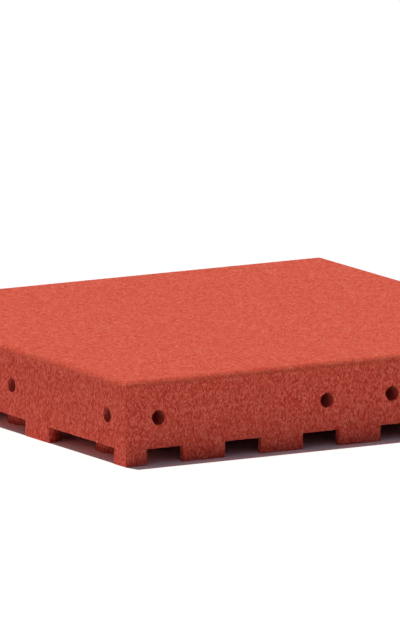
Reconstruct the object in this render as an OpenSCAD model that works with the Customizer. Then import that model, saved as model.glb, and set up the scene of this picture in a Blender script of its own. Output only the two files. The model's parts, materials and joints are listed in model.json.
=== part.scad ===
// Rubber playground tile.
// One square block of bound rubber crumb, moulded in one piece. The top is flat with a rounded
// edge. Underneath it stands on round feet in staggered rows, and the straight gaps between the
// rows drain rain water. Each side has four blind holes for the dowels that join it to the next.
// X runs along the rows of feet and Z is up. The origin is at the middle of the underside.

/* [Block] */
// Length of each side of the square block
tile_side = 500; // [450:10:600]
// Height of the top face above the floor
tile_h = 80; // [70:1:120]
// Radius of the rounded edge round the top face
top_edge_r = 6; // [2:0.5:12]

/* [Feet] */
// Diameter of a foot
foot_d = 45; // [30:1:60]
// Height of the feet, which is also the depth of the drainage channels
foot_h = 15; // [8:1:25]
// Spaces between the feet along a side, an even number so that each corner stands on a foot
foot_spaces = 6; // [4:2:6]

/* [Dowel holes] */
// Diameter of a dowel hole
hole_d = 14; // [8:0.5:16]
// Depth of a dowel hole
hole_depth = 25; // [15:1:26]
// Height of the hole axes above the floor
hole_z = 44; // [36:1:55]
// Distance of a hole axis from the corner or from the middle of its side
hole_inset = 35; // [34:1:60]

/* [Hidden] */
// Roundness of the cylinders
$fn = 96;
// How far a cutting shape runs past the face that it cuts
past = 1;
// Half of the block, from its middle to a side
half_side = tile_side / 2;
// Pitch of the feet along a row, and of the rows themselves
foot_pitch = tile_side / foot_spaces;
// The holes sit the same distance from the corners and from the middle of a side, so the dowels
// meet whether the next tile lies in line or half a tile along
hole_places = [
    -half_side + hole_inset,
    -hole_inset,
    hole_inset,
    half_side - hole_inset
];
// Moulded red rubber crumb
crumb_red = [0.80, 0.33, 0.26];

// The block before its edges, channels and holes are cut
module plain_block() {
    translate([-half_side, -half_side, 0])
        cube([tile_side, tile_side, tile_h]);
}

// What the rounded edge takes off along the side that faces -Y
module edge_waste() {
    translate([0, -half_side + top_edge_r, tile_h - top_edge_r])
        difference() {
            translate([-half_side - past, -top_edge_r - past, 0])
                cube([tile_side + 2 * past, top_edge_r + past, top_edge_r + past]);
            rotate([0, 90, 0])
                cylinder(r = top_edge_r, h = tile_side + 4 * past, center = true);
        }
}

// One row of feet: rows that reach the corners have a foot at each end, cut flush with the sides,
// and the rows between them are moved along by half a pitch
module foot_row(row) {
    staggered = row % 2;
    for (place = [0 : foot_spaces - staggered])
        translate([
            -half_side + (place + staggered / 2) * foot_pitch,
            -half_side + row * foot_pitch,
            -2 * past
        ])
            cylinder(d = foot_d, h = foot_h + 4 * past);
}

// The space under the block that is left open between the feet
module drainage_space() {
    difference() {
        translate([-half_side - past, -half_side - past, -past])
            cube([tile_side + 2 * past, tile_side + 2 * past, foot_h + past]);
        for (row = [0 : foot_spaces])
            foot_row(row);
    }
}

// The four dowel holes in the side that faces -Y
module side_holes() {
    for (place = hole_places)
        translate([place, -half_side - past, hole_z])
            rotate([-90, 0, 0])
                cylinder(d = hole_d, h = hole_depth + past);
}

// The whole tile
module tile() {
    color(crumb_red)
        difference() {
            plain_block();
            drainage_space();
            for (quarter = [0 : 3])
                rotate([0, 0, quarter * 90]) {
                    edge_waste();
                    side_holes();
                }
        }
}

tile();
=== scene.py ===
"""Looks of a rubber playground tile.

The tile is moulded from red rubber crumb that a binder holds together. Here a core that lies just under
the faces of the mould carries tens of thousands of separate crumbs, and whatever stands past the mould is
pressed back under it, as the real press does. All lengths are metres, in the frame's own axes.
"""

from __future__ import annotations

import json
import logging
import math
from dataclasses import dataclass, field
from enum import IntEnum

import bmesh
import bpy
import numpy as np
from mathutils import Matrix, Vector

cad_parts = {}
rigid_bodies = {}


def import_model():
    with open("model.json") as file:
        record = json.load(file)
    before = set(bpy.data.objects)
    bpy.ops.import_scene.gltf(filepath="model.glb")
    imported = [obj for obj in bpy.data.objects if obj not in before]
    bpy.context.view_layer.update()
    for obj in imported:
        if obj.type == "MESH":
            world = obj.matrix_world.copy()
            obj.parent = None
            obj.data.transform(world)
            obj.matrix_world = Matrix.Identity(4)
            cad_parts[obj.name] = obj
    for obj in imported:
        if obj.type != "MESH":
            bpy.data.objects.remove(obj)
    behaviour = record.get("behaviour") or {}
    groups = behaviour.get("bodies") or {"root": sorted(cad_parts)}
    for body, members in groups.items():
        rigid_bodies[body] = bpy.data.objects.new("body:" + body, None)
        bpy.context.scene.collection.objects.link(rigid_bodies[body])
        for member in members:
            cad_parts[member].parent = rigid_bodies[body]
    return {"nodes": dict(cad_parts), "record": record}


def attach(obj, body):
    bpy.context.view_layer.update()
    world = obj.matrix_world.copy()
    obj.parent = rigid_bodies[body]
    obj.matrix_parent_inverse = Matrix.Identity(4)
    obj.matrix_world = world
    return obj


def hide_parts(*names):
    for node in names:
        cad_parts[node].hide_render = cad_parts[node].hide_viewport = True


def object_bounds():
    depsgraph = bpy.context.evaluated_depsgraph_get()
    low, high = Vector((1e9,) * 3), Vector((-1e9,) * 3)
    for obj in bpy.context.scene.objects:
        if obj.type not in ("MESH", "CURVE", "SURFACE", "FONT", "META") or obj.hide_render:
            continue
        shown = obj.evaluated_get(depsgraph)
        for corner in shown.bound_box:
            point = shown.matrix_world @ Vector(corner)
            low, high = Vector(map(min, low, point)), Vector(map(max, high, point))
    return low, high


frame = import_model()
CAD_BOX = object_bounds()

logging.basicConfig(level=logging.INFO, format="%(message)s")
log = logging.getLogger("tile")

MM = 0.001
Span = tuple[float, float]
Triple = tuple[float, float, float]
Colour = Triple
Socket = bpy.types.NodeSocket
Value = Socket | float | bool | str | tuple[float, ...]
Inputs = dict[str | int, Value]

WHITE = (1.0, 1.0, 1.0)
UPWARDS = (0.0, 0.0, 1.0)
# The shade of a middling crumb, from 0 for the darkest to 1 for the palest.
MIDDLE_SHADE = 0.5
# The middle of a noise texture, and the range that holds nearly all of it.
NOISE_MIDDLE = 0.5
NOISE_RANGE = (0.25, 0.75)


def rgba(colour: Colour) -> tuple[float, float, float, float]:
    """Returns the colour with a full alpha."""
    return (*colour, 1.0)


class Draw(IntEnum):
    """What is drawn by chance for each crumb. The number is the seed of the draw."""

    TIP = 1
    WIDTH = 2
    SHAPE = 3
    SHADE = 4
    LENGTH = 5
    DEPTH = 6
    BED = 7


@dataclass
class Graph:
    """Short-hand for filling a node tree.

    Attributes:
        tree: The tree that nodes are added to.
    """

    tree: bpy.types.NodeTree

    def add(self, kind: str, inputs: Inputs | None = None, **settings: str) -> bpy.types.Node:
        """Adds a node.

        Args:
            kind: The node's type.
            inputs: What each input gets, by its identifier, name or place: a socket to link, or a value.
            settings: The node's own properties.

        Returns:
            The new node.
        """
        node = self.tree.nodes.new(kind)
        for name, value in settings.items():
            setattr(node, name, value)
        for key, value in (inputs or {}).items():
            self.feed(node, key, value)
        return node

    def feed(self, node: bpy.types.Node, key: str | int, value: Value) -> None:
        """Gives one of a node's inputs a value, or a socket to take it from.

        Args:
            node: The node.
            key: The input's identifier, name or place.
            value: The value, or the socket that gives it.
        """
        socket = self.input_of(node, key)
        if isinstance(value, Socket):
            self.tree.links.new(value, socket)
        else:
            socket.default_value = value

    @staticmethod
    def input_of(node: bpy.types.Node, key: str | int) -> Socket:
        """Finds one of a node's inputs.

        Args:
            node: The node.
            key: The input's identifier, name or place.

        Returns:
            The input. Of inputs that share a name, it is the one in use.
        """
        if isinstance(key, int):
            return node.inputs[key]
        by_identifier = [s for s in node.inputs if s.identifier == key]
        by_name = [s for s in node.inputs if s.name == key and s.enabled]
        return (by_identifier or by_name)[0]

    @staticmethod
    def result(node: bpy.types.Node) -> Socket:
        """Returns the node's first output that is in use."""
        return next(s for s in node.outputs if s.enabled)

    def math(self, operation: str, *values: Value) -> Socket:
        """Adds a sum and returns its result."""
        return self.add("ShaderNodeMath", dict(enumerate(values)), operation=operation).outputs[0]

    def same(self, first: Value, second: Value) -> Socket:
        """Adds a test of whether two numbers are the same, to within a half, and returns its result."""
        return self.math("COMPARE", first, second, 0.5)

    def vector(self, operation: str, first: Value, second: Value) -> Socket:
        """Adds a vector sum.

        Args:
            operation: What is done with the two.
            first: A vector.
            second: A vector, or the factor where the sum is SCALE.

        Returns:
            The result.
        """
        key = "Scale" if operation == "SCALE" else 1
        node = self.add("ShaderNodeVectorMath", {0: first, key: second}, operation=operation)
        return self.result(node)

    def combined(self, x: Value, y: Value, z: Value) -> Socket:
        """Adds a vector made of three numbers and returns it."""
        return self.add("ShaderNodeCombineXYZ", {0: x, 1: y, 2: z}).outputs[0]

    def ranged(self, value: Value, source: Span, target: Span) -> Socket:
        """Adds a node that moves a number from one range to another and returns the result."""
        ends = dict(zip(("From Min", "From Max", "To Min", "To Max"), (*source, *target)))
        return self.add("ShaderNodeMapRange", {"Value": value, **ends}).outputs[0]

    def attribute(self, name: str, data_type: str) -> Socket:
        """Adds a node that reads an attribute and returns its value."""
        node = self.add("GeometryNodeInputNamedAttribute", {"Name": name}, data_type=data_type)
        return self.result(node)

    def chance(self, draw: Draw, least: Value = 0.0, most: Value = 1.0) -> Socket:
        """Adds a random number between two limits and returns it."""
        limits = {"Min_001": least, "Max_001": most, "Seed": int(draw)}
        return self.result(self.add("FunctionNodeRandomValue", limits, data_type="FLOAT"))

    def stored(self, geometry: Socket, name: str, value: Value, data_type: str, domain: str) -> Socket:
        """Adds a node that keeps a value as an attribute.

        Args:
            geometry: The geometry.
            name: The attribute's name.
            value: The value.
            data_type: The attribute's type.
            domain: What each value belongs to.

        Returns:
            The geometry with its attribute.
        """
        inputs = {"Geometry": geometry, "Name": name, "Value": value}
        node = self.add("GeometryNodeStoreNamedAttribute", inputs, data_type=data_type, domain=domain)
        return node.outputs["Geometry"]


class Zone(IntEnum):
    """The parts of the surface, which the mould shapes in different ways."""

    TOP = 0
    EDGE = 1
    SIDE = 2
    UNDER = 3
    HOLE = 4


@dataclass
class Mould:
    """The faces that the crumb is pressed against, and the core that lies inside them.

    Attributes:
        node: The CAD node that gives the shape.
        relief: How far the core lies under the mould, which is the depth of the cracks between crumbs.
        top_relief: The same at the top, where the press packs the crumb tighter.
        rounding: How far down from the top its rounded edge reaches, with a little to spare.
        under_spare: How far over the channels a face's middle may lie and still belong to the underside.
        same_place: Points nearer than this count as one.
        on_side: A face nearer than this to a side of the box lies on that side.
        rising: Least upward share of the direction of a face on the rounded edge.
        level: Least upward share of the direction of a face on the top.
        direction_digits: To how many digits two faces' directions and reliefs are told apart.
        least_turn: Faces at one point that differ by less than this share are moved in as one.
    """

    node: str = "tile"
    relief: float = 0.3 * MM
    top_relief: float = 0.15 * MM
    rounding: float = 7 * MM
    under_spare: float = 1 * MM
    same_place: float = 0.001 * MM
    on_side: float = 0.01 * MM
    rising: float = 0.01
    level: float = 0.99
    direction_digits: int = 5
    least_turn: float = 0.2

    def pressed_shape(self) -> bpy.types.Object:
        """Copies the CAD tile and merges its loose triangles.

        Returns:
            The copy's object. Its faces hold their direction, zone and relief.
        """
        work = bmesh.new()
        work.from_mesh(frame["nodes"][self.node].data)
        bmesh.ops.remove_doubles(work, verts=work.verts, dist=self.same_place)
        points = [v.co[:] for v in work.verts]
        faces = [[v.index for v in f.verts] for f in work.faces]
        work.free()
        mesh = bpy.data.meshes.new("mould")
        mesh.from_pydata(points, [], faces)
        normals = np.array([p.normal for p in mesh.polygons])
        middles = np.array([p.center for p in mesh.polygons])
        outward = mesh.attributes.new("outward", "FLOAT_VECTOR", "FACE")
        outward.data.foreach_set("vector", normals.ravel())
        zone = mesh.attributes.new("zone", "INT", "FACE")
        zone.data.foreach_set("value", self.zones(normals, middles))
        relief = mesh.attributes.new("relief", "FLOAT", "FACE")
        relief.data.foreach_set("value", self.reliefs(normals, middles))
        return bpy.data.objects.new("mould", mesh)

    def zones(self, normals: np.ndarray, middles: np.ndarray) -> np.ndarray:
        """Sorts faces into zones.

        Args:
            normals: Each face's outward direction.
            middles: Each face's middle.

        Returns:
            The zone number of each face.
        """
        low, high = (np.array(corner) for corner in CAD_BOX)
        inward = np.minimum(middles - low, high - middles)[:, :2].min(1)
        near_top = high[2] - middles[:, 2] < self.rounding
        zone = np.full(len(normals), Zone.HOLE, np.int32)
        zone[middles[:, 2] < self.channel_top() + self.under_spare] = Zone.UNDER
        zone[inward < self.on_side] = Zone.SIDE
        zone[(normals[:, 2] > self.rising) & near_top] = Zone.EDGE
        zone[(normals[:, 2] > self.level) & near_top] = Zone.TOP
        return zone

    def reliefs(self, normals: np.ndarray, middles: np.ndarray) -> np.ndarray:
        """Works out how far under each face the core lies.

        Args:
            normals: Each face's outward direction.
            middles: Each face's middle.

        Returns:
            The relief of each face, which runs smoothly from the sides' to the top's round the edge.
        """
        near_top = CAD_BOX[1][2] - middles[:, 2] < self.rounding
        upward = np.where(near_top, np.clip(normals[:, 2], 0, 1), 0)
        return self.relief + (self.top_relief - self.relief) * upward

    def channel_top(self) -> float:
        """Returns the top of the highest opening, which is the height of the channels between the feet."""
        return max(opening["box_m"][1][2] for opening in frame["record"]["physics"]["openings"])

    def core(self, mould: bpy.types.Object) -> bpy.types.Object:
        """Makes the core: the mould's shape with each face moved in, square to itself.

        Args:
            mould: The shape from pressed_shape.

        Returns:
            The core's object, with the mould's directions and zones on its faces.
        """
        mesh = mould.data.copy()
        normals = np.array([p.normal for p in mesh.polygons])
        relief = np.zeros(len(normals))
        mesh.attributes["relief"].data.foreach_get("value", relief)
        faces_at: list[list[int]] = [[] for _ in mesh.vertices]
        for face in mesh.polygons:
            for vertex in face.vertices:
                faces_at[vertex].append(face.index)
        for vertex, faces in zip(mesh.vertices, faces_at):
            touching = np.c_[normals[faces], relief[faces]].round(self.direction_digits)
            planes = np.unique(touching, axis=0)
            move = np.linalg.lstsq(planes[:, :3], -planes[:, 3], rcond=self.least_turn)[0]
            vertex.co += Vector(move)
        shade = mesh.attributes.new("shade", "FLOAT", "POINT")
        shade.data.foreach_set("value", np.full(len(mesh.vertices), MIDDLE_SHADE))
        return bpy.data.objects.new("tile_core", mesh)


@dataclass(frozen=True)
class RubberFinish:
    """The colour and surface of dyed rubber crumb.

    Attributes:
        name: The material's name.
        dark: Colour of the darkest crumbs.
        middle: Colour of most crumbs.
        light: Colour of the palest crumbs.
        roughness: How matt the surface is.
        gloss: Strength of its highlights.
        grain: Size of the mottling on one crumb.
        grain_layers: How many finer layers the mottling has.
        mottled: How much of the range of colours the mottling covers.
        bump: Height of the fine roughness.
        patch: Size of the patches where the dye took unevenly.
        patch_layers: How many finer layers the patches have.
        uneven: How much lighter or darker such a patch is, at most.
    """

    name: str
    dark: Colour
    middle: Colour
    light: Colour
    roughness: float = 0.85
    gloss: float = 0.25
    grain: float = 1.2 * MM
    grain_layers: float = 2.0
    mottled: float = 0.5
    bump: float = 0.05 * MM
    patch: float = 9 * MM
    patch_layers: float = 1.0
    uneven: float = 0.05

    def material(self) -> bpy.types.Material:
        """Makes the finish as a node material.

        Returns:
            The material. A crumb's own shade is read from the attribute of that name.
        """
        made = bpy.data.materials.new(self.name)
        made.use_nodes = True
        made.node_tree.nodes.clear()
        graph = Graph(made.node_tree)
        place = graph.add("ShaderNodeTexCoord").outputs["Object"]
        fine = {"Vector": place, "Scale": 1 / self.grain, "Detail": self.grain_layers}
        noise = graph.add("ShaderNodeTexNoise", fine).outputs["Fac"]
        mottle = graph.math("SUBTRACT", noise, NOISE_MIDDLE)
        shade = graph.add("ShaderNodeAttribute", attribute_name="shade").outputs["Fac"]
        tone = graph.math("MULTIPLY_ADD", mottle, self.mottled, shade)
        ramp = graph.add("ShaderNodeValToRGB", {"Fac": tone})
        stops = ramp.color_ramp.elements
        stops[0].color = rgba(self.dark)
        stops[1].color = rgba(self.light)
        stops.new(MIDDLE_SHADE).color = rgba(self.middle)
        broad = {"Vector": place, "Scale": 1 / self.patch, "Detail": self.patch_layers}
        dye = graph.add("ShaderNodeTexNoise", broad).outputs["Fac"]
        lift = graph.ranged(dye, NOISE_RANGE, (1 - self.uneven, 1 + self.uneven))
        bump = graph.add("ShaderNodeBump", {"Height": noise, "Distance": self.bump})
        look = {
            "Base Color": graph.vector("SCALE", ramp.outputs["Color"], lift),
            "Roughness": self.roughness,
            "Specular IOR Level": self.gloss,
            "Normal": bump.outputs["Normal"],
        }
        surface = graph.add("ShaderNodeBsdfPrincipled", look)
        graph.add("ShaderNodeOutputMaterial", {"Surface": surface.outputs["BSDF"]})
        return made


TOP_RUBBER = RubberFinish(
    name="top_rubber",
    dark=(0.6, 0.054, 0.025),
    middle=(0.654, 0.096, 0.05),
    light=(0.705, 0.15, 0.089),
)
# Painted light: the sides' rubber is the top's rubber painted lighter and a little bluer, standing in for
# the light that falls on the sides. Its wider spread of crumb colours is the rubber's own. The underside
# wears it too.
SIDE_RUBBER_PAINTED_LIGHT = RubberFinish(
    name="side_rubber",
    dark=(0.54, 0.03, 0.0135),
    middle=(0.765, 0.114, 0.07),
    light=(0.84, 0.178, 0.119),
)
# Painted shade: the bore walls' rubber is painted darker and greyer than the sides', standing in for the
# shade deep in the bores.
BORE_RUBBER_PAINTED_SHADE = RubberFinish(
    name="bore_rubber",
    dark=(0.45, 0.056, 0.036),
    middle=(0.51, 0.085, 0.057),
    light=(0.575, 0.12, 0.088),
)
BOUND_RUBBER = RubberFinish(
    name="bound_rubber",
    dark=(0.52, 0.045, 0.025),
    middle=(0.62, 0.066, 0.038),
    light=(0.7, 0.09, 0.06),
)


@dataclass(frozen=True)
class Sieve:
    """The crumb that covers one zone of the tile.

    Attributes:
        name: The first part of its pieces' names.
        zone: The zone that it covers.
        finish: The colour and surface of its crumbs.
        spacing: Least distance between the middles of two crumbs.
        width: Width of a crumb, from the smallest to the largest.
        tall: How many times further apart two crumbs are up a side than along it.
        slender: How many times longer than wide a crumb is, from least to most.
        depth: How far a crumb's face lies under the mould before the press, from least to most. Less
            than nothing means that it stands past the mould.
        bed: How far under the mould the press leaves a crumb, from least to most.
        ragged: How far a crumb's corners lie out of its face, as a share of its width.
        lean: How far a crumb tips out of the face, in degrees.
        twist: How far a long crumb turns away from upright, in degrees.
        parts: How many pieces the crumb is shared over.
        seed: Seed of the random places.
    """

    name: str
    zone: Zone
    finish: RubberFinish
    spacing: float
    width: Span
    tall: float = 1.0
    slender: Span = (1.0, 1.3)
    depth: Span = (-0.05 * MM, 0.2 * MM)
    bed: Span = (0.002 * MM, 0.05 * MM)
    ragged: float = 0.05
    lean: float = 5.0
    twist: float = 180.0
    parts: int = 2
    seed: int = 1


@dataclass
class CrumbShapes:
    """The few crumbs that all the others are copies of. A crumb's own lengths are shares of its width.

    Attributes:
        ragged: How far a crumb's corners lie out of its face.
        seed: Seed of the random corners.
        count: How many different crumbs there are.
        seeds: How many seeds are kept for each sieve's crumbs.
        corners: How many corners a crumb's face has, by turns.
        wander: How far a corner strays along the rim, as a share of the way to the next.
        reach: Distance of a corner from the middle, from least to most.
        root_depth: How far the root's tip lies under the face.
        root_stray: How far the root's tip strays sideways.
        face_on_map: How large the face is drawn on the crumb's map, which is one square.
        tips_on_map: How far from the middle of the map the tip of the root is drawn for each side.
    """

    ragged: float
    seed: int
    count: int = 12
    seeds: int = 100
    corners: tuple[int, ...] = (4, 5)
    wander: float = 0.28
    reach: Span = (0.5, 0.62)
    root_depth: float = 0.95
    root_stray: float = 0.06
    face_on_map: float = 0.5
    tips_on_map: float = 0.45

    def crumb(self, number: int) -> bpy.types.Object:
        """Makes one crumb, an angular face about 1 unit wide on a root that narrows to a point.

        Args:
            number: Which shape, which also seeds its corners.

        Returns:
            The crumb's object. Its map lays the face and the sides round it flat, with no overlap.
        """
        rng = np.random.default_rng(self.seeds * self.seed + number)
        count = self.corners[number % len(self.corners)]
        step = 2 * math.pi / count
        angle = (np.arange(count) + rng.uniform(-self.wander, self.wander, count)) * step
        reach = rng.uniform(*self.reach, count)
        lift = rng.uniform(-self.ragged, self.ragged, count)
        rim = np.c_[reach * np.cos(angle), reach * np.sin(angle), lift]
        root = np.r_[rng.normal(0, self.root_stray, 2), -self.root_depth]
        ring = list(range(count))
        face_fan = [(0, here, here + 1) for here in ring[1:-1]]
        sides = [(after, here, count) for here, after in zip(ring, ring[1:] + ring[:1])]
        mesh = bpy.data.meshes.new(f"crumb_{number:02d}")
        mesh.from_pydata([*rim.tolist(), root.tolist()], [], face_fan + sides)
        chart = mesh.uv_layers.new(name="OFBake")
        middle = 0.5
        flat = middle + self.face_on_map * rim[:, :2]
        between = angle + step / 2
        tips = middle + self.tips_on_map * np.c_[np.cos(between), np.sin(between)]
        for face in mesh.polygons:
            for corner in face.loop_indices:
                vertex = mesh.loops[corner].vertex_index
                place = flat[vertex] if vertex < count else tips[face.index - len(face_fan)]
                chart.uv[corner].vector = place
        return bpy.data.objects.new(mesh.name, mesh)

    def collection(self) -> bpy.types.Collection:
        """Makes all the crumbs.

        Returns:
            A collection that holds them.
        """
        box = bpy.data.collections.new("crumb_shapes")
        for number in range(self.count):
            box.objects.link(self.crumb(number))
        return box


@dataclass
class CrumbTree:
    """The geometry nodes that spread crumbs over the core and press them against the mould.

    Attributes:
        shapes: How many crumb shapes there are to pick from.
        name: The tree's name.
        tries: How many places are tried in a square as wide as the spacing, to leave no room for more.
        sinking: Power of the draw for the depth. Over 1, more crumbs lie high than deep.
        graph: The tree while it is built.
        given: What the tree's inputs give.
    """

    shapes: int
    name: str = "crumb_press"
    tries: float = 8.0
    sinking: float = 2.0
    graph: Graph = field(init=False)
    given: bpy.types.bpy_prop_collection = field(init=False)

    def build(self) -> bpy.types.NodeTree:
        """Makes the tree.

        Returns:
            The tree, with a named input for each of a sieve's sizes.
        """
        made = bpy.data.node_groups.new(self.name, "GeometryNodeTree")
        made.interface.new_socket("Geometry", in_out="OUTPUT", socket_type="NodeSocketGeometry")
        kinds = {
            "Geometry": ["Geometry"],
            "Object": ["Mould"],
            "Collection": ["Shapes"],
            "Material": ["Finish"],
            "Int": ["Zone", "Part", "Parts", "Seed"],
            "Float": [
                "Spacing",
                "Tall",
                "Smallest",
                "Largest",
                "Stubbiest",
                "Longest",
                "Least Depth",
                "Most Depth",
                "Least Bed",
                "Most Bed",
                "Lean",
                "Twist",
            ],
            "Vector": ["Low Corner", "High Corner"],
        }
        for kind, names in kinds.items():
            for name in names:
                made.interface.new_socket(name, in_out="INPUT", socket_type=f"NodeSocket{kind}")
        self.graph = Graph(made)
        self.given = self.graph.add("NodeGroupInput").outputs
        crumbs = self.pressed(self.charted(self.placed(self.spread())))
        dress = {"Geometry": crumbs, "Material": self.given["Finish"]}
        dressed = self.graph.add("GeometryNodeSetMaterial", dress)
        self.graph.add("NodeGroupOutput", {"Geometry": dressed.outputs["Geometry"]})
        return made

    def spread(self) -> Socket:
        """Adds the nodes that scatter points over the zone, a little under the mould.

        The core is squashed for this and the points are stretched back, so that they can lie further apart
        up a side than along it.

        Returns:
            The points. Each keeps the outward direction and the relief of its face.
        """
        graph = self.graph
        given = self.given
        squat = graph.combined(1.0, 1.0, graph.math("DIVIDE", 1.0, given["Tall"]))
        low = graph.add("GeometryNodeTransform", {"Geometry": given["Geometry"], "Scale": squat})
        square = graph.math("POWER", given["Spacing"], 2.0)
        scatter = {
            "Mesh": low.outputs["Geometry"],
            "Selection": graph.same(graph.attribute("zone", "INT"), given["Zone"]),
            "Distance Min": given["Spacing"],
            "Density Max": graph.math("DIVIDE", self.tries, square),
            "Seed": given["Seed"],
        }
        kind = "GeometryNodeDistributePointsOnFaces"
        points = graph.add(kind, scatter, distribute_method="POISSON").outputs["Points"]
        back = graph.combined(1.0, 1.0, given["Tall"])
        full = graph.add("GeometryNodeTransform", {"Geometry": points, "Scale": back})
        spare = graph.math("SUBTRACT", given["Most Depth"], given["Least Depth"])
        share = graph.math("POWER", graph.chance(Draw.DEPTH), self.sinking)
        depth = graph.math("MULTIPLY_ADD", share, spare, given["Least Depth"])
        height = graph.math("SUBTRACT", graph.attribute("relief", "FLOAT"), depth)
        offset = graph.vector("SCALE", graph.attribute("outward", "FLOAT_VECTOR"), height)
        move = {"Geometry": full.outputs["Geometry"], "Offset": offset}
        return graph.add("GeometryNodeSetPosition", move).outputs["Geometry"]

    def placed(self, points: Socket) -> Socket:
        """Adds the nodes that put a crumb at each point of this piece's share.

        Args:
            points: The points.

        Returns:
            The crumbs as instances, each with its shade and its bed.
        """
        graph = self.graph
        given = self.given
        pick = {"Collection": given["Shapes"], "Separate Children": True, "Reset Children": True}
        shapes = graph.add("GeometryNodeCollectionInfo", pick)
        limits = {"Max_002": self.shapes - 1, "Seed": int(Draw.SHAPE)}
        which = graph.result(graph.add("FunctionNodeRandomValue", limits, data_type="INT"))
        index = graph.add("GeometryNodeInputIndex").outputs[0]
        share = graph.math("MODULO", index, given["Parts"])
        place = {
            "Points": points,
            "Selection": graph.same(share, given["Part"]),
            "Instance": shapes.outputs["Instances"],
            "Pick Instance": True,
            "Instance Index": which,
            "Rotation": self.turned(),
            "Scale": self.scaled(),
        }
        crumbs = graph.add("GeometryNodeInstanceOnPoints", place).outputs["Instances"]
        shaded = graph.stored(crumbs, "shade", graph.chance(Draw.SHADE), "FLOAT", "INSTANCE")
        bed = graph.chance(Draw.BED, given["Least Bed"], given["Most Bed"])
        return graph.stored(shaded, "bed", bed, "FLOAT", "INSTANCE")

    def turned(self) -> Socket:
        """Adds the nodes that lay a crumb on its face, set it upright and tip it a little.

        Returns:
            Each crumb's rotation.
        """
        graph = self.graph
        given = self.given
        align = "FunctionNodeAlignRotationToVector"
        outward = graph.attribute("outward", "FLOAT_VECTOR")
        flat = graph.add(align, {"Vector": outward}, axis="Z").outputs["Rotation"]
        stand = {"Rotation": flat, "Vector": UPWARDS}
        upright = graph.add(align, stand, axis="Y", pivot_axis="Z").outputs["Rotation"]
        high = graph.combined(given["Lean"], given["Lean"], given["Twist"])
        limits = {"Min": graph.vector("SCALE", high, -1.0), "Max": high, "Seed": int(Draw.TIP)}
        angles = graph.result(graph.add("FunctionNodeRandomValue", limits, data_type="FLOAT_VECTOR"))
        tip = graph.add("FunctionNodeEulerToRotation", {"Euler": angles}).outputs["Rotation"]
        both = {"Rotation": upright, "Rotate By": tip}
        return graph.add("FunctionNodeRotateRotation", both, rotation_space="LOCAL").outputs["Rotation"]

    def scaled(self) -> Socket:
        """Adds the nodes that give each crumb its width and length.

        Returns:
            Each crumb's scale.
        """
        width = self.graph.chance(Draw.WIDTH, self.given["Smallest"], self.given["Largest"])
        stretch = self.graph.chance(Draw.LENGTH, self.given["Stubbiest"], self.given["Longest"])
        return self.graph.combined(width, self.graph.math("MULTIPLY", width, stretch), width)

    def charted(self, crumbs: Socket) -> Socket:
        """Adds the nodes that make the crumbs real and give each one a square of its own on the UV map.

        Args:
            crumbs: The crumbs as instances.

        Returns:
            The crumbs as a mesh.
        """
        graph = self.graph
        size = graph.add("GeometryNodeAttributeDomainSize", {"Geometry": crumbs}, component="INSTANCES")
        across = graph.math("CEIL", graph.math("SQRT", size.outputs["Instance Count"]))
        index = graph.add("GeometryNodeInputIndex").outputs[0]
        column = graph.math("MODULO", index, across)
        row = graph.math("FLOOR", graph.math("DIVIDE", index, across))
        square = graph.combined(column, row, 0.0)
        numbered = graph.stored(crumbs, "square", square, "FLOAT_VECTOR", "INSTANCE")
        real = graph.add("GeometryNodeRealizeInstances", {"Geometry": numbered}).outputs["Geometry"]
        inside = graph.attribute("OFBake", "FLOAT_VECTOR")
        place = graph.vector("ADD", inside, graph.attribute("square", "FLOAT_VECTOR"))
        shrunk = graph.vector("SCALE", place, graph.math("DIVIDE", 1.0, across))
        return graph.stored(real, "OFBake", shrunk, "FLOAT2", "CORNER")

    def pressed(self, crumbs: Socket) -> Socket:
        """Adds the nodes that press whatever stands higher than its bed back down to it.

        Args:
            crumbs: The crumbs as a mesh.

        Returns:
            The pressed crumbs. None of them reaches out of the CAD box.
        """
        graph = self.graph
        given = self.given
        mould = graph.add("GeometryNodeObjectInfo", {"Object": given["Mould"]}).outputs["Geometry"]
        place = graph.add("GeometryNodeInputPosition").outputs[0]
        nearest = self.read(mould, place, place)
        facing = self.read(mould, graph.attribute("outward", "FLOAT_VECTOR"), place)
        past = graph.vector("DOT_PRODUCT", graph.vector("SUBTRACT", place, nearest), facing)
        under = graph.math("MULTIPLY", graph.attribute("bed", "FLOAT"), -1.0)
        laid = graph.vector("ADD", nearest, graph.vector("SCALE", facing, under))
        press = {
            "Geometry": crumbs,
            "Selection": graph.math("GREATER_THAN", past, under),
            "Position": laid,
        }
        moved = graph.add("GeometryNodeSetPosition", press).outputs["Geometry"]
        raised = graph.vector("MAXIMUM", place, given["Low Corner"])
        kept = graph.vector("MINIMUM", raised, given["High Corner"])
        box = {"Geometry": moved, "Position": kept}
        return graph.add("GeometryNodeSetPosition", box).outputs["Geometry"]

    def read(self, mesh: Socket, value: Socket, place: Socket) -> Socket:
        """Adds a node that reads a value off a mesh.

        Args:
            mesh: The mesh.
            value: What is read.
            place: The place. The value is read where the mesh comes nearest to it.

        Returns:
            The value there.
        """
        sample = {"Mesh": mesh, "Value": value, "Sample Position": place}
        node = self.graph.add("GeometryNodeSampleNearestSurface", sample, data_type="FLOAT_VECTOR")
        return node.outputs["Value"]


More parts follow.
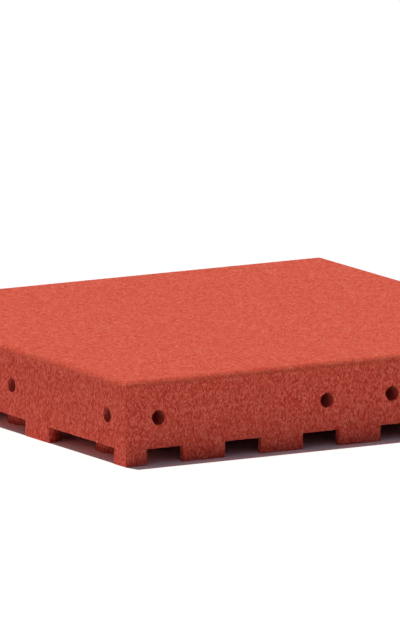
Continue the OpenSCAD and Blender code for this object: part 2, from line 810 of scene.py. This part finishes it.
@dataclass
class CrumbLayer:
    """One piece's share of the crumbs of one sieve, spread over the core and pressed against the mould.

    Attributes:
        sieve: The crumb.
        part: Which share of it this piece holds.
        core: The object that carries the crumbs.
        mould: The object that they are pressed against.
        finish: Their material.
        tree: The geometry nodes that spread and press them.
        shapes: How many different crumbs there are.
    """

    sieve: Sieve
    part: int
    core: bpy.types.Object
    mould: bpy.types.Object
    finish: bpy.types.Material
    tree: bpy.types.NodeTree
    shapes: int

    def sizes(self, box: bpy.types.Collection) -> dict[str, object]:
        """Lists what each named input of the tree gets.

        Args:
            box: The collection that holds the crumb shapes.

        Returns:
            What each input gets, by its name.
        """
        sieve = self.sieve
        return {
            "Mould": self.mould,
            "Shapes": box,
            "Finish": self.finish,
            "Zone": int(sieve.zone),
            "Part": self.part,
            "Parts": sieve.parts,
            "Seed": sieve.seed,
            "Spacing": sieve.spacing,
            "Tall": sieve.tall,
            "Smallest": sieve.width[0],
            "Largest": sieve.width[1],
            "Stubbiest": sieve.slender[0],
            "Longest": sieve.slender[1],
            "Least Depth": sieve.depth[0],
            "Most Depth": sieve.depth[1],
            "Least Bed": sieve.bed[0],
            "Most Bed": sieve.bed[1],
            "Lean": math.radians(sieve.lean),
            "Twist": math.radians(sieve.twist),
            "Low Corner": CAD_BOX[0],
            "High Corner": CAD_BOX[1],
        }

    def build(self) -> bpy.types.Object:
        """Makes the crumbs.

        Returns:
            The crumbs as one piece with a plain mesh.
        """
        name = f"{self.sieve.name}_{self.part + 1}"
        box = CrumbShapes(self.sieve.ragged, self.sieve.seed, self.shapes).collection()
        worker = bpy.data.objects.new("worker", self.core.data)
        bpy.context.scene.collection.objects.link(worker)
        spreader = worker.modifiers.new("spread", "NODES")
        spreader.node_group = self.tree
        sizes = self.sizes(box)
        for socket in self.tree.interface.items_tree:
            if socket.name in sizes:
                spreader[socket.identifier] = sizes[socket.name]
        ready = worker.evaluated_get(bpy.context.evaluated_depsgraph_get())
        mesh = bpy.data.meshes.new_from_object(ready)
        for helper in (worker, *box.objects):
            bpy.data.objects.remove(helper)
        bpy.data.collections.remove(box)
        mesh.name = name
        for spent in ("square", "bed", "zone", "outward", "relief", "id"):
            if spent in mesh.attributes:
                mesh.attributes.remove(mesh.attributes[spent])
        piece = bpy.data.objects.new(name, mesh)
        bpy.context.scene.collection.objects.link(piece)
        return piece


@dataclass
class RubberTile:
    """The whole tile: its core and the crumbs of every sieve.

    Attributes:
        mould: The mould that it is pressed in.
        core_finish: The bound crumb that shows in the cracks between the outer crumbs.
        sieves: The crumb of each zone.
        shapes: How many different crumbs there are.
    """

    mould: Mould = field(default_factory=Mould)
    core_finish: RubberFinish = BOUND_RUBBER
    sieves: tuple[Sieve, ...] = (
        Sieve(
            name="top_crumb",
            zone=Zone.TOP,
            finish=TOP_RUBBER,
            spacing=1.65 * MM,
            width=(2.0 * MM, 2.6 * MM),
            depth=(-0.06 * MM, 0.05 * MM),
            bed=(0.002 * MM, 0.03 * MM),
            ragged=0.03,
            lean=2.0,
            parts=3,
            seed=11,
        ),
        Sieve(
            name="edge_crumb",
            zone=Zone.EDGE,
            finish=TOP_RUBBER,
            spacing=1.3 * MM,
            width=(1.5 * MM, 2.0 * MM),
            depth=(-0.05 * MM, 0.12 * MM),
            lean=4.0,
            parts=1,
            seed=51,
        ),
        Sieve(
            name="side_crumb",
            zone=Zone.SIDE,
            # The sides get the rubber with painted light.
            finish=SIDE_RUBBER_PAINTED_LIGHT,
            spacing=1.15 * MM,
            width=(1.3 * MM, 1.8 * MM),
            tall=1.8,
            slender=(1.6, 2.2),
            depth=(0.0, 0.25 * MM),
            ragged=0.03,
            twist=20.0,
            seed=21,
        ),
        Sieve(
            name="under_crumb",
            zone=Zone.UNDER,
            # The underside gets the same rubber with painted light.
            finish=SIDE_RUBBER_PAINTED_LIGHT,
            spacing=2.4 * MM,
            width=(2.4 * MM, 3.4 * MM),
            slender=(1.0, 1.4),
            seed=31,
        ),
        Sieve(
            name="hole_crumb",
            zone=Zone.HOLE,
            # The bore walls get the rubber with painted shade.
            finish=BORE_RUBBER_PAINTED_SHADE,
            spacing=1.9 * MM,
            width=(1.9 * MM, 2.8 * MM),
            parts=1,
            seed=41,
        ),
    )
    shapes: int = 12

    def build(self) -> list[bpy.types.Object]:
        """Makes the tile.

        Returns:
            Every piece of it, dressed and riding on its body.
        """
        shape = self.mould.pressed_shape()
        core = self.mould.core(shape)
        bpy.context.scene.collection.objects.link(core)
        core.data.materials.append(self.core_finish.material())
        finishes = dict.fromkeys(sieve.finish for sieve in self.sieves)
        rubber = {finish: finish.material() for finish in finishes}
        tree = CrumbTree(self.shapes).build()
        pieces = [core] + [
            CrumbLayer(sieve, part, core, shape, rubber[sieve.finish], tree, self.shapes).build()
            for sieve in self.sieves
            for part in range(sieve.parts)
        ]
        bpy.data.objects.remove(shape)
        for piece in pieces:
            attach(piece, "root")
        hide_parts("tile")
        return pieces


@dataclass(frozen=True)
class Lamp:
    """A lamp so far off that its light comes from one direction.

    Attributes:
        name: Its name.
        source: The direction that its light comes from.
        strength: Its strength. At 1, a white face that is turned to it shows plain white.
        tint: Colour of its light.
        spread: How wide it looks from the tile, in degrees. A wide lamp gives soft shadows.
    """

    name: str
    source: Triple
    strength: float
    tint: Colour
    spread: float

    def build(self) -> None:
        """Makes the lamp and turns it to the tile."""
        light = bpy.data.lights.new(self.name, "SUN")
        light.energy = self.strength * math.pi
        light.angle = math.radians(self.spread)
        light.color = self.tint
        stand = bpy.data.objects.new(self.name, light)
        stand.rotation_euler = Vector(self.source).to_track_quat("Z", "Y").to_euler()
        bpy.context.scene.collection.objects.link(stand)


@dataclass
class Studio:
    """Floor, light and camera.

    Attributes:
        azimuth: Direction that the camera looks along, turned from +Y, in degrees.
        elevation: Height of the camera above the horizon, in degrees.
        lens: Focal length in millimetres, long enough for a nearly parallel view.
        sensor: Width of the camera's sensor in millimetres.
        clip: Nearest and furthest distance that the camera sees.
        seen_height: Height of the frame at the tile.
        aim: Point at the middle of the frame.
        lamps: The main lamp, and a broad and weak one on the left.
        sky: Strength of the light from all round.
        sky_tint: Colour of that light.
        floor_half: Half the width of the floor.
        bounce: Share of the light that the floor sends back.
        card_bounce: The same for the grey card under the tile, which looks as white as the floor.
        card_reach: How far the card reaches out in front of the tile, which shades the foot of that side.
    """

    azimuth: float = -29.9
    elevation: float = 10.0
    lens: float = 1080.0
    sensor: float = 36.0
    clip: Span = (0.1, 200.0)
    seen_height: float = 0.5865
    aim: Triple = (-0.1788, -0.2635, 0.136)
    lamps: tuple[Lamp, ...] = (
        Lamp("lamp", source=(-0.051, 0.207, 0.977), strength=0.932, tint=(1.0, 1.0, 0.96), spread=2.0),
        Lamp("fill", source=(-0.95, 0.0, 0.3), strength=0.05, tint=(1.0, 0.9, 0.7), spread=120.0),
    )
    sky: float = 0.12
    sky_tint: Colour = (1.0, 0.97, 1.25)
    floor_half: float = 30.0
    bounce: float = 0.97
    card_bounce: float = 0.4
    card_reach: float = 28 * MM

    def camera(self) -> None:
        """Makes the camera, as far back as the height that it sees asks for."""
        data = bpy.data.cameras.new("camera")
        data.lens = self.lens
        data.sensor_width = self.sensor
        data.clip_start, data.clip_end = self.clip
        turn = math.radians(self.azimuth)
        rise = math.radians(self.elevation)
        away = (math.sin(turn) * math.cos(rise), -math.cos(turn) * math.cos(rise), math.sin(rise))
        back = Vector(away)
        camera = bpy.data.objects.new("camera", data)
        camera.location = Vector(self.aim) + back * self.seen_height * self.lens / self.sensor
        camera.rotation_euler = (-back).to_track_quat("-Z", "Y").to_euler()
        bpy.context.scene.collection.objects.link(camera)
        bpy.context.scene.camera = camera

    def surroundings(self) -> None:
        """Makes the weak light from all round, with plain white behind the tile."""
        world = bpy.data.worlds.new("sky")
        world.use_nodes = True
        world.node_tree.nodes.clear()
        graph = Graph(world.node_tree)
        light, backdrop = (
            graph.add("ShaderNodeBackground", {"Color": rgba(tint), "Strength": strength}).outputs[0]
            for tint, strength in ((self.sky_tint, self.sky), (WHITE, 1.0))
        )
        both = graph.add("ShaderNodeMixShader", {0: self.seen(graph), 1: light, 2: backdrop})
        graph.add("ShaderNodeOutputWorld", {"Surface": both.outputs[0]})
        bpy.context.scene.world = world

    @staticmethod
    def seen(graph: Graph) -> Socket:
        """Adds nodes that tell the rays that show a surface from the rays that light one.

        Args:
            graph: The tree that gets the nodes.

        Returns:
            1 for rays that show a surface, straight, mirrored or through glass, and 0 for the rest.
        """
        path = graph.add("ShaderNodeLightPath").outputs
        shown = graph.math("ADD", path["Is Camera Ray"], path["Is Glossy Ray"])
        return graph.math("ADD", shown, path["Is Transmission Ray"])

    def floor(self) -> None:
        """Makes the plain white floor, with the grey card let into it."""
        half = self.floor_half
        (left, front, _), (right, back, _) = CAD_BOX
        front -= self.card_reach
        outside = [(-half, -half, 0), (half, -half, 0), (half, half, 0), (-half, half, 0)]
        card = [(left, front, 0), (right, front, 0), (right, back, 0), (left, back, 0)]
        around = [(0, 1, 5, 4), (1, 2, 6, 5), (2, 3, 7, 6), (3, 0, 4, 7)]
        mesh = bpy.data.meshes.new("floor")
        mesh.from_pydata(outside + card, [], [*around, (4, 5, 6, 7)])
        mesh.materials.append(self.white("floor", self.bounce))
        mesh.materials.append(self.white("card", self.card_bounce))
        mesh.polygons[len(around)].material_index = 1
        floor = bpy.data.objects.new("floor", mesh)
        bpy.context.scene.collection.objects.link(floor)

    def white(self, name: str, bounce: float) -> bpy.types.Material:
        """Makes a material that shows plain white.

        Args:
            name: The material's name.
            bounce: Share of the light that it sends back to other things.

        Returns:
            The material.
        """
        material = bpy.data.materials.new(name)
        material.use_nodes = True
        material.node_tree.nodes.clear()
        graph = Graph(material.node_tree)
        tone = graph.ranged(self.seen(graph), (0.0, 1.0), (bounce, 1.0))
        surface = graph.add("ShaderNodeBsdfDiffuse", {"Color": tone})
        graph.add("ShaderNodeOutputMaterial", {"Surface": surface.outputs[0]})
        return material

    def build(self) -> None:
        """Sets the stage and the way that colours are shown."""
        self.camera()
        for lamp in self.lamps:
            lamp.build()
        self.surroundings()
        self.floor()
        bpy.context.scene.view_settings.view_transform = "Standard"


def main() -> None:
    """Builds the studio and the tile, and reports each piece."""
    Studio().build()
    for piece in RubberTile().build():
        log.info("%s: %d faces", piece.name, len(piece.data.polygons))


if __name__ == "__main__":
    main()
